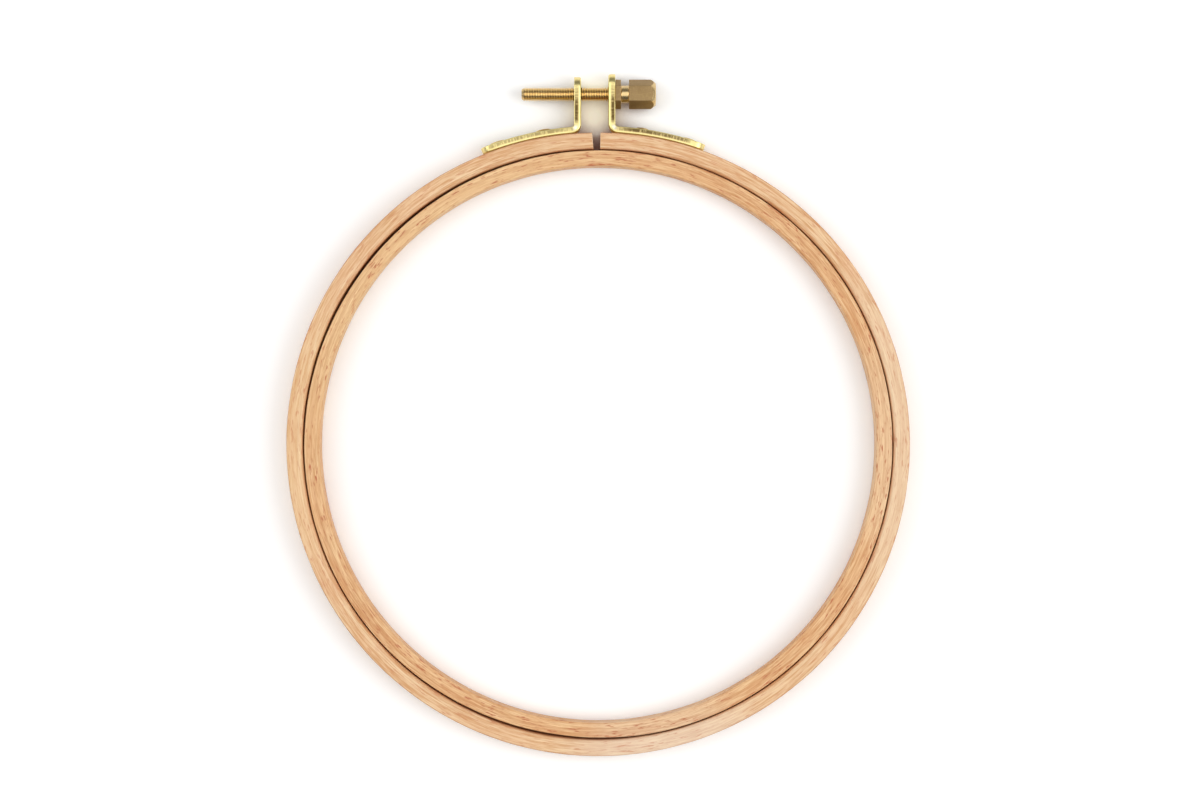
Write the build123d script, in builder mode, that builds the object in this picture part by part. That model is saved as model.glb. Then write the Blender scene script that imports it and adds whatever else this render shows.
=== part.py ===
from build123d import *
import os
from math import asin, cos, degrees, pi, radians, sin, sqrt

# Embroidery hoop lying flat, in millimetres.
# The origin is the centre of the rings on the plane that they lie on.
# +Z is up, +Y points to the slit and its clamp screw, and +X to the screw's hexagonal knob.

# Sizes shared by both wooden rings
hoop_size = 160.0  # outside diameter of the inner ring, which a hoop is sold by
ring_wall = 4.4
ring_height = 8.0
ring_edge_radius = 0.5
cloth_gap = 0.3  # between the rings all round, where the cloth goes

# Slit of the outer ring, each face measured from the centre line of the hoop
left_slit_face = 1.46
right_slit_face = 0.60

# Where the springy outer ring bends as it opens: an angle from the slit, and the joint's gap
flex_angle = 135.0
flex_gap = 0.05

# Brass brackets: strips that lie on the outer ring and bend up into a leg beside the slit
strip_thickness = 1.9
strip_corner_share = 0.47  # of the strip's width
bend_radius = 0.8
hole_to_strip_edge = 0.8
left_leg_face = 4.64  # face at the slit, from the centre line of the hoop
right_leg_face = 2.77
left_leg_past_screw = 4.7  # from the screw's axis to the top of the leg
right_leg_past_screw = 5.5
left_leg_to_rivet = 10.0  # along the ring, from the leg's face at the slit
right_leg_to_rivet = 9.0
rivet_spacing = 12.8
rivet_to_tip = 4.6
seat_gap = 0.02  # under the strips, and under the rivet heads

# Rivets
rivet_shank = 2.0
rivet_head = 4.0
rivet_head_height = 0.4
rivet_tail = 3.4
rivet_tail_depth = 0.7
rivet_tail_recess = 0.1  # below the inside face of the outer ring
rivet_hole_gap = 0.03

# Clamp screw, turned from hexagonal brass bar
screw_rise = 10.7  # from the outer ring to the screw's axis
thread_diameter = 4.0
thread_pitch = 0.7
thread_depth = 0.43
thread_length = 25.6  # from the flange to the screw's end
thread_end_diameter = 2.8
thread_end_length = 0.84
thread_crest_share = 0.125  # of the pitch
thread_root_share = 0.25  # of the pitch
leg_hole_gap = 0.2  # round the thread, so that the legs can tilt as the ring opens
flange_gap = 0.05
knob_across_flats = 7.0
flange_thickness = 1.5
neck_diameter = 4.8
neck_length = 2.2
knob_length = 7.3
knob_end_diameter = 6.1
knob_end_length = 1.55

# Extra length of every cutting shape past the surface that it cuts
overrun = 1.0

# Radii and heights that follow from the sizes above
inner_ring_outside = hoop_size / 2
inner_ring_inside = inner_ring_outside - ring_wall
outer_ring_inside = inner_ring_outside + cloth_gap
outer_ring_outside = outer_ring_inside + ring_wall
outer_ring_middle = (outer_ring_inside + outer_ring_outside) / 2
middle_height = ring_height / 2
strip_underside = outer_ring_outside + seat_gap
strip_topside = strip_underside + strip_thickness
leg_hole_radius = thread_diameter / 2 + leg_hole_gap
strip_width = 2 * (leg_hole_radius + hole_to_strip_edge)
strip_corner_radius = strip_corner_share * strip_width
screw_y = outer_ring_outside + screw_rise
flex_gap_angle = degrees(flex_gap / outer_ring_middle)

LEFT = -1
RIGHT = 1
slit_face = {LEFT: left_slit_face, RIGHT: right_slit_face}
leg_face = {LEFT: left_leg_face, RIGHT: right_leg_face}
leg_past_screw = {LEFT: left_leg_past_screw, RIGHT: right_leg_past_screw}
leg_to_rivet = {LEFT: left_leg_to_rivet, RIGHT: right_leg_to_rivet}


def around(side, angle, radius):
    """Point in the hoop's plane at an angle from +Y, turned to the left or the right."""
    return (side * radius * sin(radians(angle)), radius * cos(radians(angle)))


def ring_plane(angle):
    """Upright plane through the hoop's axis, at an angle from +X, with its x pointing outwards."""
    outward = (cos(radians(angle)), sin(radians(angle)), 0)
    return Plane(origin=(0, 0, 0), x_dir=outward, z_dir=(outward[1], -outward[0], 0))


def rivet_plane(side, angle):
    """Upright plane through a rivet: its x runs outwards along the rivet, its y is height."""
    outward_x, outward_y = around(side, angle, 1)
    return Plane(
        origin=(0, 0, middle_height),
        x_dir=(outward_x, outward_y, 0),
        z_dir=(outward_y, -outward_x, 0),
    )


def ring_section(inside):
    """Section of a ring: a tall rectangle with softened corners."""
    with Locations((inside + ring_wall / 2, middle_height)):
        RectangleRounded(ring_wall, ring_height, ring_edge_radius)


def leg_angle(side):
    """Angle from +Y where the leg's face at the slit meets the underside of its strip."""
    return degrees(asin(leg_face[side] / strip_underside))


def rivet_angles(side):
    """Angles from +Y of a strip's two rivets, the one nearer the leg first."""
    nearer = leg_angle(side) + degrees(leg_to_rivet[side] / outer_ring_outside)
    return [nearer, nearer + degrees(rivet_spacing / outer_ring_outside)]


def tip_angle(side):
    """Angle from +Y of the far tip of a strip."""
    return rivet_angles(side)[-1] + degrees(rivet_to_tip / outer_ring_outside)


def tail_corners(grown):
    """Where a rivet's tail starts and where it has narrowed to the shank, grown by a gap."""
    tail_start = outer_ring_inside + rivet_tail_recess
    return [
        (tail_start, rivet_tail / 2 + grown),
        (tail_start + rivet_tail_depth, rivet_shank / 2 + grown),
    ]


def inner_ring_piece():
    """Closed ring that the cloth is stretched over."""
    with BuildPart() as inner_ring:
        with BuildSketch(ring_plane(0)):
            ring_section(inner_ring_inside)
        revolve(axis=Axis.Z)
    return inner_ring.part


def outer_ring_back_piece():
    """Quarter of the outer ring opposite the slit, which stays still as the ring opens."""
    first_angle = 90 + flex_angle + flex_gap_angle / 2
    arc = 360 - 2 * flex_angle - flex_gap_angle
    with BuildPart() as outer_ring_back:
        with BuildSketch(ring_plane(first_angle)):
            ring_section(outer_ring_inside)
        revolve(axis=Axis.Z, revolution_arc=arc)
    return outer_ring_back.part


def outer_ring_wing_piece(side):
    """Side of the outer ring, from the slit to where the ring bends, drilled for its rivets."""
    arc = flex_angle - flex_gap_angle / 2
    first_angle = 90 if side == LEFT else 90 - arc
    slit_cut_width = slit_face[side] + overrun
    slit_cut_middle = side * (slit_face[side] - slit_cut_width / 2)
    tail_corner, shank_corner = tail_corners(rivet_hole_gap)
    hole_start = outer_ring_inside - overrun
    hole_end = outer_ring_outside + overrun
    with BuildPart() as outer_ring_wing:
        with BuildSketch(ring_plane(first_angle)):
            ring_section(outer_ring_inside)
        revolve(axis=Axis.Z, revolution_arc=arc)
        with BuildSketch(Plane.XY.offset(-overrun)):
            with Locations((slit_cut_middle, outer_ring_middle)):
                Rectangle(slit_cut_width, ring_wall + 2 * overrun)
        extrude(amount=ring_height + 2 * overrun, mode=Mode.SUBTRACT)
        for angle in rivet_angles(side):
            plane = rivet_plane(side, angle)
            with BuildSketch(plane):
                with BuildLine():
                    Polyline(
                        (hole_start, 0),
                        (hole_start, tail_corner[1]),
                        tail_corner,
                        shank_corner,
                        (hole_end, shank_corner[1]),
                        (hole_end, 0),
                        close=True,
                    )
                make_face()
            revolve(axis=Axis(plane.origin, plane.x_dir), mode=Mode.SUBTRACT)
    return outer_ring_wing.part


def bracket_piece(side):
    """Brass strip riveted round the ring, its end bent up into a leg that the screw passes."""
    face = leg_face[side]
    far_face = face + strip_thickness
    leg_top = screw_y + leg_past_screw[side]
    first = leg_angle(side)
    last = tip_angle(side)
    halfway = (first + last) / 2
    bend_outside = around(side, first, strip_underside)
    bend_inside = (side * far_face, sqrt(strip_topside**2 - far_face**2))
    with BuildPart() as bracket:
        with BuildSketch(Plane.XY.offset(middle_height)) as side_view:
            with BuildLine():
                Polyline(
                    bend_outside,
                    (side * face, leg_top),
                    (side * far_face, leg_top),
                    bend_inside,
                )
                ThreePointArc(
                    bend_inside,
                    around(side, halfway, strip_topside),
                    around(side, last, strip_topside),
                )
                Line(around(side, last, strip_topside), around(side, last, strip_underside))
                ThreePointArc(
                    around(side, last, strip_underside),
                    around(side, halfway, strip_underside),
                    bend_outside,
                )
            make_face()
            corner = side_view.vertices().sort_by_distance(bend_outside + (middle_height,))[0]
            fillet(corner, bend_radius + strip_thickness)
            corner = side_view.vertices().sort_by_distance(bend_inside + (middle_height,))[0]
            fillet(corner, bend_radius)
        extrude(amount=strip_width / 2, both=True)
        leg_corners = bracket.edges().filter_by(Axis.X).group_by(Axis.Y)[-1]
        fillet(leg_corners, strip_corner_radius)
        tip_middle = around(side, last, (strip_underside + strip_topside) / 2)
        tip_face = bracket.faces().sort_by_distance(tip_middle + (middle_height,))[0]
        tip_corners = tip_face.edges().filter_by(Axis.Z, reverse=True)
        fillet(tip_corners, strip_corner_radius)
        for angle in rivet_angles(side):
            outward_x, outward_y = around(side, angle, 1)
            hole_start = around(side, angle, strip_underside - overrun) + (middle_height,)
            with BuildSketch(Plane(origin=hole_start, z_dir=(outward_x, outward_y, 0))):
                Circle(rivet_shank / 2 + rivet_hole_gap)
            extrude(amount=strip_thickness + 2 * overrun, mode=Mode.SUBTRACT)
        with BuildSketch(Plane(origin=(0, screw_y, middle_height), z_dir=(side, 0, 0))):
            Circle(leg_hole_radius)
        extrude(amount=far_face + overrun, mode=Mode.SUBTRACT)
    return bracket.part


def rivet_piece(side, angle):
    """Brass rivet: a low domed head on the strip, a shank, and a tail set flush in the wood."""
    plane = rivet_plane(side, angle)
    tail_corner, shank_corner = tail_corners(0)
    head_base = strip_topside + seat_gap
    head_edge = (head_base, rivet_head / 2)
    head_top = (head_base + rivet_head_height, 0)
    dome_radius = (head_edge[1] ** 2 + rivet_head_height**2) / (2 * rivet_head_height)
    with BuildPart() as rivet:
        with BuildSketch(plane):
            with BuildLine():
                Polyline(
                    (tail_corner[0], 0),
                    tail_corner,
                    shank_corner,
                    (head_base, shank_corner[1]),
                    head_edge,
                )
                RadiusArc(head_edge, head_top, dome_radius)
                Line(head_top, (tail_corner[0], 0))
            make_face()
        revolve(axis=Axis(plane.origin, plane.x_dir))
    return rivet.part


def clamp_screw_piece():
    """One-piece screw: a threaded rod, a flange, a round neck and a long hexagonal knob."""
    bearing = right_leg_face + strip_thickness + flange_gap
    rod_end = bearing - thread_length
    neck_start = bearing + flange_thickness
    knob_start = neck_start + neck_length
    knob_end = knob_start + knob_length
    thread_radius = thread_diameter / 2
    corner_radius = knob_across_flats / sqrt(3)
    groove_mouth = thread_pitch * (1 - thread_crest_share) / 2
    groove_floor = thread_pitch * thread_root_share / 2
    cone_slope = (corner_radius - knob_end_diameter / 2) / knob_end_length
    cone_overrun = overrun * cone_slope
    rod_plane = Plane.XY.offset(middle_height)
    rod_axis = Axis((0, screw_y, middle_height), (1, 0, 0))
    end_plane = Plane(origin=(bearing, screw_y, middle_height), x_dir=(0, 1, 0), z_dir=(1, 0, 0))
    with BuildPart() as clamp_screw:
        with BuildSketch(rod_plane):
            with BuildLine():
                Polyline(
                    (rod_end, screw_y),
                    (rod_end, screw_y + thread_end_diameter / 2),
                    (rod_end + thread_end_length, screw_y + thread_radius),
                    (bearing, screw_y + thread_radius),
                    (bearing, screw_y),
                    close=True,
                )
            make_face()
            for turn in range(int(thread_length / thread_pitch)):
                groove = rod_end + (turn + 0.5) * thread_pitch
                with BuildLine():
                    Polyline(
                        (groove - groove_mouth, screw_y + thread_radius),
                        (groove - groove_floor, screw_y + thread_radius - thread_depth),
                        (groove + groove_floor, screw_y + thread_radius - thread_depth),
                        (groove + groove_mouth, screw_y + thread_radius),
                        close=True,
                    )
                make_face(mode=Mode.SUBTRACT)
        revolve(axis=rod_axis)
        with BuildSketch(end_plane):
            RegularPolygon(knob_across_flats / 2, 6, major_radius=False)
        extrude(amount=flange_thickness)
        with BuildSketch(end_plane.offset(flange_thickness)):
            Circle(neck_diameter / 2)
        extrude(amount=neck_length)
        with BuildSketch(end_plane.offset(flange_thickness + neck_length)):
            RegularPolygon(knob_across_flats / 2, 6, major_radius=False)
        extrude(amount=knob_length)
        with BuildSketch(rod_plane):
            with BuildLine():
                Polyline(
                    (knob_end - knob_end_length - overrun, screw_y + corner_radius + cone_overrun),
                    (knob_end + overrun, screw_y + knob_end_diameter / 2 - cone_overrun),
                    (knob_end + overrun, screw_y + corner_radius + cone_overrun),
                    close=True,
                )
            make_face()
        revolve(axis=rod_axis, mode=Mode.SUBTRACT)
    return clamp_screw.part


pieces = {
    "inner_ring": inner_ring_piece(),
    "outer_ring_back": outer_ring_back_piece(),
    "outer_ring_left": outer_ring_wing_piece(LEFT),
    "outer_ring_right": outer_ring_wing_piece(RIGHT),
    "bracket_left": bracket_piece(LEFT),
    "bracket_right": bracket_piece(RIGHT),
    "clamp_screw": clamp_screw_piece(),
}
for side, side_name in ((LEFT, "left"), (RIGHT, "right")):
    for angle, place in zip(rivet_angles(side), ("leg", "tip")):
        pieces[f"rivet_{side_name}_{place}"] = rivet_piece(side, angle)

os.makedirs("parts", exist_ok=True)
for name, piece in pieces.items():
    piece.label = name
    export_step(piece, f"parts/{name}.step")

# One turn of the screw moves the legs apart by a pitch, half of it on each side of the ring
flex_x, flex_y = around(LEFT, flex_angle, outer_ring_middle)
screw_turn_ratio = 2 * (screw_y - flex_y) * 2 * pi / thread_pitch
print(f"screw axis at y {screw_y:.3f}, z {middle_height:.3f}")
print(f"outer ring bends at x {flex_x:.4f} and {-flex_x:.4f}, y {flex_y:.4f}")
print(f"the screw turns {screw_turn_ratio:.2f} times as far as each side of the ring")
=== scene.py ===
# %% [markdown]
# # A wooden embroidery hoop with a brass clamp screw
# The hoop is two beech rings, one inside the other. The outer ring has a slit, and a brass
# screw between two riveted brackets draws the slit shut, so that the cloth is held between
# the rings. The construction comes with the frame: every piece at its real size, and every
# joint. This lesson gives each piece the shape and finish that the hand and the eye know.

# %% The frame and the tools of this lesson
from math import asin, atan2, cos, degrees, exp, hypot, pi, radians, sin, sqrt

import bmesh
import bpy
from mathutils import Matrix, Vector, noise


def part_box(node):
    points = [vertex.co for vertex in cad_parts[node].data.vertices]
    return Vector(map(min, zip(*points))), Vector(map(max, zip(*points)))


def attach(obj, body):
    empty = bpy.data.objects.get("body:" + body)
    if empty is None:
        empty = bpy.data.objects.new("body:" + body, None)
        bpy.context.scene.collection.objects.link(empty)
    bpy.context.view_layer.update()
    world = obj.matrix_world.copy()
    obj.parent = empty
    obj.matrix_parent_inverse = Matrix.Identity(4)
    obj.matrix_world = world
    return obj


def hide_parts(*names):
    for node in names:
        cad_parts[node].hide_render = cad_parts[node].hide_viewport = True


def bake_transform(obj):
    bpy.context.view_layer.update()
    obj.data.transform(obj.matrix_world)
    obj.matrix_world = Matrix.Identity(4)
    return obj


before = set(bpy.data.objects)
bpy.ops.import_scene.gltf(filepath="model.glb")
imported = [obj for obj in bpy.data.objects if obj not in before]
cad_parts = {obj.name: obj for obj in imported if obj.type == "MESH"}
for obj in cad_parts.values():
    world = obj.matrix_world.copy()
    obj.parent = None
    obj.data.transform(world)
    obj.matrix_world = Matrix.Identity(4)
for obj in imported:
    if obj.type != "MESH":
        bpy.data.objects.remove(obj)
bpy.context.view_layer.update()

MM = 0.001

# %% [markdown]
# ## The hoop's sizes
# A new piece must sit exactly where the construction has it. So the main sizes are read off
# the boxes of the frame's own nodes, and only what a box can't tell, such as the wall of a
# ring or a small rounding, is written down here.

# %% Sizes read off the frame
inner_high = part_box("inner_ring")[1]
back_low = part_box("outer_ring_back")[0]
screw_low, screw_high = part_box("clamp_screw")

ring_wall = 4.4 * MM
ring_height = inner_high.z
middle_height = ring_height / 2
inner_outside = inner_high.x
inner_inside = inner_outside - ring_wall
outer_outside = -back_low.y
outer_inside = outer_outside - ring_wall
outer_middle = (outer_inside + outer_outside) / 2
screw_y = (screw_low.y + screw_high.y) / 2
screw_axis = Vector((0, screw_y, middle_height))
print(f"rings {inner_inside / MM:.1f} to {inner_outside / MM:.1f} mm")
print(f"and {outer_inside / MM:.1f} to {outer_outside / MM:.1f} mm, {ring_height / MM:.1f} mm high")
print(f"screw axis {screw_y / MM:.2f} mm from the centre")

# %% [markdown]
# ## The camera
# The hoop is seen from straight above. A long lens far up keeps the ring's inside wall
# nearly hidden, as it is from a copy stand. The lens follows from the width that the picture
# shows at the top of the rings, so that the hoop fills the picture as it should.

# %% Camera
sensor_width = 36 * MM
seen_width = 325.8 * MM
camera_rise = 884 * MM  # above the top of the rings
camera_x = 0.50 * MM
camera_y = 12.05 * MM


def add_to_scene(name, data):
    """Makes an object of a mesh, a lamp or a camera and adds it to the scene."""
    made = bpy.data.objects.new(name, data)
    bpy.context.scene.collection.objects.link(made)
    return made


camera_data = bpy.data.cameras.new("camera")
camera_data.sensor_width = sensor_width / MM
camera_data.lens = sensor_width / MM * camera_rise / seen_width
camera = add_to_scene("camera", camera_data)
camera.location = (camera_x, camera_y, ring_height + camera_rise)
bpy.context.scene.camera = camera
print(f"lens {camera_data.lens:.1f} mm")

# %% [markdown]
# ## Helpers for shader nodes
# In Blender a finish is a tree of small nodes, and so is the light of a room. Set up one by
# one they would fill many screens. So each helper here adds one node, sets or links its
# inputs and gives back the socket that the next one takes. A finish then reads like a sum.

# %% Helpers for shader nodes
def add_node(tree, kind, inputs=None, **settings):
    """Adds a shader node, sets its settings, and sets or links its inputs."""
    made = tree.nodes.new(kind)
    for name, value in settings.items():
        setattr(made, name, value)
    for socket, value in (inputs or {}).items():
        if isinstance(value, bpy.types.NodeSocket):
            tree.links.new(value, made.inputs[socket])
        else:
            made.inputs[socket].default_value = value
    return made


def ramp(tree, value, stops, smooth=False):
    """Turns a value into a grey through stops of (place, grey) and returns the socket."""
    made = add_node(tree, "ShaderNodeValToRGB", {"Fac": value})
    elements = made.color_ramp.elements
    made.color_ramp.interpolation = "EASE" if smooth else "LINEAR"
    while len(elements) < len(stops):
        elements.new(0.5)
    for element, (place, grey) in zip(elements, stops):
        element.position = place
        element.color = (grey, grey, grey, 1)
    return made.outputs["Color"]


def math_node(tree, operation, first, second=0.0, third=0.0):
    """Result of a sum on values or sockets."""
    inputs = {0: first, 1: second, 2: third}
    return add_node(tree, "ShaderNodeMath", inputs, operation=operation).outputs["Value"]


def mix_colour(tree, share, first, second):
    """Colour between two colours, by a share from 0 to 1."""
    inputs = {0: share, 6: first, 7: second}
    return add_node(tree, "ShaderNodeMix", inputs, data_type="RGBA").outputs[2]


# %% [markdown]
# ## Light
# Brass shows what stands around it. In a plain white room it would be flat and pale, so the
# room here has three zones: light near the floor, dim higher up, and bright overhead. The
# bands that this makes on round brass are what tells the eye that it is turned metal. The
# camera itself sees plain white behind everything. Two large soft lamps, left and right,
# light the sides of the rings and the edges of the brackets. Together with the room they
# light a level surface at a plain strength of about 1.

# %% World with a light horizon, a dim wall and a bright ceiling
horizon_light = 0.62
wall_light = 0.19
wall_difference = 0.06  # how much lighter the wall is towards +Y, and darker towards -Y
ceiling_light = 1.55
plain_white = (1, 1, 1, 1)

world = bpy.data.worlds.new("soft_room")
world.use_nodes = True
room = world.node_tree
room.nodes.clear()
direction = add_node(room, "ShaderNodeTexCoord").outputs["Generated"]
towards = add_node(room, "ShaderNodeSeparateXYZ", {"Vector": direction}).outputs
is_wall = ramp(room, towards["Z"], [(0.20, 0.0), (0.34, 1.0), (0.85, 1.0), (0.93, 0.0)])
is_ceiling = ramp(room, towards["Z"], [(0.5, 0.0), (0.6, 1.0)])
side_light = math_node(room, "MULTIPLY_ADD", towards["Y"], wall_difference, wall_light)
low_light = math_node(room, "ADD", side_light, horizon_light - wall_light)
bright_light = mix_colour(room, is_ceiling, low_light, (ceiling_light,) * 3 + (1,))
room_light = mix_colour(room, is_wall, bright_light, side_light)
view_path = add_node(room, "ShaderNodeLightPath")
room_light = mix_colour(room, view_path.outputs["Is Camera Ray"], room_light, plain_white)
sky = add_node(room, "ShaderNodeBackground", {"Color": room_light, "Strength": 1.0})
add_node(room, "ShaderNodeOutputWorld", {"Surface": sky.outputs["Background"]})
bpy.context.scene.world = world
print(f"room: {horizon_light} low, {wall_light} on the wall, {ceiling_light} overhead")

# %% Two soft lamps
lamp_size = 1100 * MM
lamp_distance = 1700 * MM
lamp_rise_angle = 46


def soft_lamp(name, azimuth, watts):
    """A large square lamp aimed at the hoop, at an angle round from +X."""
    data = bpy.data.lights.new(name, "AREA")
    data.shape = "SQUARE"
    data.size = lamp_size
    data.energy = watts
    lamp = add_to_scene(name, data)
    level = cos(radians(lamp_rise_angle))
    lamp.location = (
        lamp_distance * level * cos(radians(azimuth)),
        lamp_distance * level * sin(radians(azimuth)),
        lamp_distance * sin(radians(lamp_rise_angle)),
    )
    lamp.rotation_euler = (-lamp.location).to_track_quat("-Z", "Y").to_euler()
    print(f"{name}: {watts} W at {azimuth} degrees")


soft_lamp("lamp_right", azimuth=-6, watts=12.5)
soft_lamp("lamp_left", azimuth=172, watts=8.0)

# %% [markdown]
# ## The table
# The hoop lies on white card. The card keeps the hoop's soft shadow. In a narrow place such
# as the slit it is brown with painted shade, as an ambient occlusion node darkens its colour
# there. For the camera and for reflections the card is lifted a little towards white, less
# where the same node finds it shut in, which paints shade near the rings too. Only those rays
# see the lift, so it gives the hoop no light of its own. Between the two brass legs a warmer,
# brighter pool of painted light stands for the light that polished brass throws down there.

# %% White card
card_size = 6000 * MM
card_divisions = 8
card_drop = 0.02 * MM  # below the hoop, so that the two never share a plane
card_white = (0.93, 0.93, 0.93, 1)
card_lift = 0.24
shade_reach = 14 * MM
painted_narrow_shade_colour = (0.26, 0.10, 0.06, 1)

card_mesh = bmesh.new()
bmesh.ops.create_grid(
    card_mesh, x_segments=card_divisions, y_segments=card_divisions, size=card_size / 2
)
bmesh.ops.translate(card_mesh, verts=card_mesh.verts, vec=(0, 0, -card_drop))
card_data = bpy.data.meshes.new("white_card")
card_mesh.to_mesh(card_data)
card_mesh.free()
white_card = add_to_scene("white_card", card_data)

card = bpy.data.materials.new("white_card")
card.use_nodes = True
tree = card.node_tree
tree.nodes.clear()
openness = add_node(
    tree, "ShaderNodeAmbientOcclusion", {"Color": plain_white, "Distance": shade_reach}
)
# Painted shade: an ambient occlusion node darkens the card's colour, and its lift, in narrow places
# and close to the rings.
share_clear_of_painted_shade = ramp(tree, openness.outputs["AO"], [(0.05, 0.0), (0.46, 1.0)])
white = mix_colour(tree, share_clear_of_painted_shade, painted_narrow_shade_colour, card_white)
matte = add_node(tree, "ShaderNodeBsdfDiffuse", {"Color": white}).outputs[0]
lift_colour_with_painted_shade = mix_colour(tree, share_clear_of_painted_shade, (0, 0, 0, 1), openness.outputs["Color"])
glow = add_node(tree, "ShaderNodeEmission", {"Color": lift_colour_with_painted_shade, "Strength": card_lift})
lifted = add_node(tree, "ShaderNodeAddShader", {0: matte, 1: glow.outputs[0]}).outputs[0]
print(f"card: {card_size / MM:.0f} mm wide, {card_drop / MM} mm below the hoop")

# %% Painted light from the brass on the card
painted_brass_light = 0.30
painted_brass_light_colour = (1, 0.93, 0.55, 1)
painted_brass_light_place = (-0.9 * MM, 93 * MM, 0)
painted_brass_light_reach = 10 * MM
painted_brass_light_core = 0.35  # share of the reach that is lit fully


def vector_math(tree, operation, inputs, output="Vector"):
    """Result of a sum on vectors: a vector, or a number where output is "Value"."""
    return add_node(tree, "ShaderNodeVectorMath", inputs, operation=operation).outputs[output]


# A pool of painted light: an emission on the card between the legs, seen only by the camera and by
# reflections.
card_place = add_node(tree, "ShaderNodeNewGeometry").outputs["Position"]
from_brass = vector_math(tree, "DISTANCE", {0: card_place, 1: painted_brass_light_place}, "Value")
from_brass = math_node(tree, "DIVIDE", from_brass, painted_brass_light_reach)
strength = ramp(tree, from_brass, [(painted_brass_light_core, painted_brass_light), (1.0, 0.0)], smooth=True)
strength = math_node(tree, "MULTIPLY", strength, share_clear_of_painted_shade)
painted_pool_of_light = add_node(
    tree, "ShaderNodeEmission", {"Color": painted_brass_light_colour, "Strength": strength}
)
with_painted_brass_light = add_node(tree, "ShaderNodeAddShader", {0: lifted, 1: painted_pool_of_light.outputs[0]})
rays = add_node(tree, "ShaderNodeLightPath").outputs
seen = math_node(tree, "MAXIMUM", rays["Is Camera Ray"], rays["Is Glossy Ray"])
seen = math_node(tree, "MAXIMUM", seen, rays["Is Transmission Ray"])
shown = add_node(tree, "ShaderNodeMixShader", {"Fac": seen, 1: matte, 2: with_painted_brass_light.outputs[0]})
add_node(tree, "ShaderNodeOutputMaterial", {"Surface": shown.outputs[0]})
card_data.materials.append(card)
bpy.context.scene.view_settings.view_transform = "Standard"
print(f"brass light: {painted_brass_light} within {painted_brass_light_reach / MM:.0f} mm")

# %% [markdown]
# ## From a bmesh to a finished piece
# Every piece below is shaped in a bmesh and then becomes an object at the origin, with its
# place in its mesh. Doubled points are merged first and the faces are turned outwards
# after that. Faces are shaded smooth, apart from edges that are sharper than a given angle.

# %% Finish a piece
merge_distance = 0.001 * MM


def merge_doubles(shape, distance=merge_distance):
    """Merges points that lie in the same place."""
    bmesh.ops.remove_doubles(shape, verts=shape.verts, dist=distance)


def shade_smooth(mesh, sharp_angle):
    """Shades a mesh smooth, apart from edges sharper than an angle in degrees."""
    mesh.polygons.foreach_set("use_smooth", [True] * len(mesh.polygons))
    mesh.set_sharp_from_angle(angle=radians(sharp_angle))
    print(f"{mesh.name}: {len(mesh.polygons)} faces")


def finish_piece(shape, name, sharp_angle=35):
    """Closes up a bmesh and returns it as a new object at the origin."""
    merge_doubles(shape)
    bmesh.ops.recalc_face_normals(shape, faces=shape.faces)
    mesh = bpy.data.meshes.new(name)
    shape.to_mesh(mesh)
    shape.free()
    shade_smooth(mesh, sharp_angle)
    return add_to_scene(name, mesh)


# %% [markdown]
# ## The section of a ring
# A hoop's rings are strips of beech, steamed, bent round and sanded. Their section is an
# upright rectangle whose four corners are rounded by different amounts: the outer ring's
# inside top corner is broken the most, so that the cloth slides in. It is drawn as one
# rectangle, each corner is bevelled by its own radius, and the long sides are divided so
# that the surface can be made a little uneven later.

# %% A rectangle to start from, and rounded corners
def upright_rectangle(shape, width, height, centre):
    """A flat rectangle that stands across Y, for a section or a blank."""
    bmesh.ops.create_grid(shape, x_segments=1, y_segments=1, size=0.5)
    upright = Matrix.Rotation(radians(90), 4, "X")
    bmesh.ops.transform(shape, matrix=upright, verts=shape.verts)
    bmesh.ops.scale(shape, vec=(width, 1, height), verts=shape.verts)
    bmesh.ops.translate(shape, vec=centre, verts=shape.verts)


def bevel(shape, geom, radius, steps, affect, **settings):
    """Rounds corners (affect "VERTICES") or edges (affect "EDGES") by a radius."""
    bmesh.ops.bevel(
        shape,
        geom=geom,
        offset=radius,
        offset_type="OFFSET",
        segments=steps,
        profile=0.5,
        affect=affect,
        material=-1,
        **settings,
    )


# %% Section of a ring
corner_steps = 7
side_cuts = 7


def ring_section(shape, inside, outside, corner_radii):
    """Outline of a ring's section at +X: radii of bottom in, bottom out, top out, top in."""
    centre = ((inside + outside) / 2, 0, middle_height)
    upright_rectangle(shape, outside - inside, ring_height, centre)
    places = [(inside, 0), (outside, 0), (outside, ring_height), (inside, ring_height)]
    for (x, z), radius in zip(places, corner_radii):
        corner = min(shape.verts, key=lambda vert: hypot(vert.co.x - x, vert.co.z - z))
        bevel(shape, [corner], radius, corner_steps, "VERTICES")
    bmesh.ops.delete(shape, geom=shape.faces[:], context="FACES_ONLY")
    upright_sides = [edge for edge in shape.edges if edge.calc_length() > ring_wall]
    bmesh.ops.subdivide_edges(shape, edges=upright_sides, cuts=side_cuts)
    level_sides = [edge for edge in shape.edges if edge.calc_length() > ring_wall / 2]
    bmesh.ops.subdivide_edges(shape, edges=level_sides, cuts=side_cuts)


# %% Hand sanding, and each point's place at rest
def sand_by_hand(shape, depth, reach):
    """Moves every point in or out along its normal by a soft noise, as sanding leaves wood."""
    shape.normal_update()
    moves = [
        (vert, vert.normal * depth * noise.noise(vert.co / reach)) for vert in shape.verts
    ]
    for vert, move in moves:
        vert.co += move


def remember_places(shape):
    """Stores where each point is at rest, in millimetres, for a material that follows it."""
    place = shape.verts.layers.float_vector.new("place")
    for vert in shape.verts:
        vert[place] = vert.co / MM


# %% [markdown]
# ## The inner ring
# The inner ring is closed, with its two ends scarfed and glued. Spinning a section through
# hundreds of steps is slow, because each step looks at all that is there. So the section is
# spun into a slice of 30 degrees, and copies of the slice are set end to end and merged.
# A bent ring is never quite round, so the dark gap between the rings is wider at two places.

# %% Spin a slice and repeat it
def whole(shape):
    """All that a bmesh holds, as its operators take it."""
    return shape.verts[:] + shape.edges[:] + shape.faces[:]


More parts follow.
